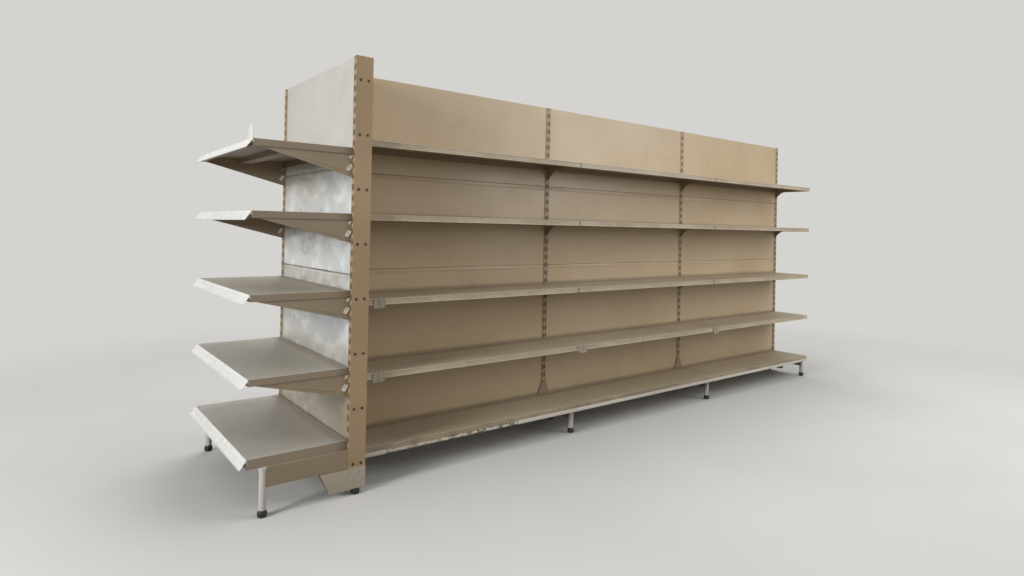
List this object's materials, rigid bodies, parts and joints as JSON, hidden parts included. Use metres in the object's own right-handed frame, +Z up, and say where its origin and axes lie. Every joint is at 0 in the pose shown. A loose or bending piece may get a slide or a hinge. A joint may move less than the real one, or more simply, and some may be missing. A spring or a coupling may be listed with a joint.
{
  "type": "double-sided shop shelving run with end unit",
  "caption": "Long slotted-post shelving island for a shop, with shelves on both sides and a wider shelving unit across one end.",
  "frame": {"origin": "on the floor, at the middle of the outline's length and width", "axes": "+X along the run, away from the end unit; -Y towards the side with the shallow shelves; +Z up"},
  "size_m": [4.5618, 1.0398, 2],
  "materials": {
    "post_paint": "satin",
    "shelf_paint": "satin",
    "panel_paint": "satin",
    "end_panel_paint": "satin",
    "bracket_paint": "satin",
    "run_rail_plastic": "satin",
    "end_rail_plastic": "gloss",
    "edge_strip_plastic": "satin",
    "leg_paint": "satin",
    "zinc": "matte",
    "rubber": "matte"
  },
  "bodies": {
    "root": {"post_1": "post_paint", "post_2": "post_paint", "post_3": "post_paint", "post_4": "post_paint", "end_post_near": "post_paint", "end_post_far": "post_paint", "post_shoes": "post_paint", "end_post_shoes": "post_paint", "post_skirts": "post_paint", "run_legs": "leg_paint", "end_legs": "leg_paint", "run_feet": "rubber", "end_feet": "rubber", "tie_bars": "zinc", "end_tie_bars": "zinc", "front_panels_bay_1": "panel_paint", "front_shelves_bay_1": "shelf_paint", "front_panels_bay_2": "panel_paint", "front_shelves_bay_2": "shelf_paint", "front_panels_bay_3": "panel_paint", "front_shelves_bay_3": "shelf_paint", "front_price_rails": "run_rail_plastic", "front_brackets": "bracket_paint", "front_base_shelves": "shelf_paint", "front_edge_strips": "edge_strip_plastic", "front_base_beams": "bracket_paint", "back_panels_bay_1": "panel_paint", "back_shelves_bay_1": "shelf_paint", "back_panels_bay_2": "panel_paint", "back_shelves_bay_2": "shelf_paint", "back_panels_bay_3": "panel_paint", "back_shelves_bay_3": "shelf_paint", "back_price_rails": "run_rail_plastic", "back_brackets": "bracket_paint", "back_base_shelves": "shelf_paint", "back_edge_strips": "edge_strip_plastic", "back_base_beams": "bracket_paint", "end_panels": "end_panel_paint", "end_rear_panels": "panel_paint", "end_shelves": "shelf_paint", "end_base_shelf": "shelf_paint", "end_brackets": "bracket_paint", "end_price_rails": "end_rail_plastic", "end_base_beams": "bracket_paint", "end_corner_tab": "end_rail_plastic"}
  },
  "joints": []
}
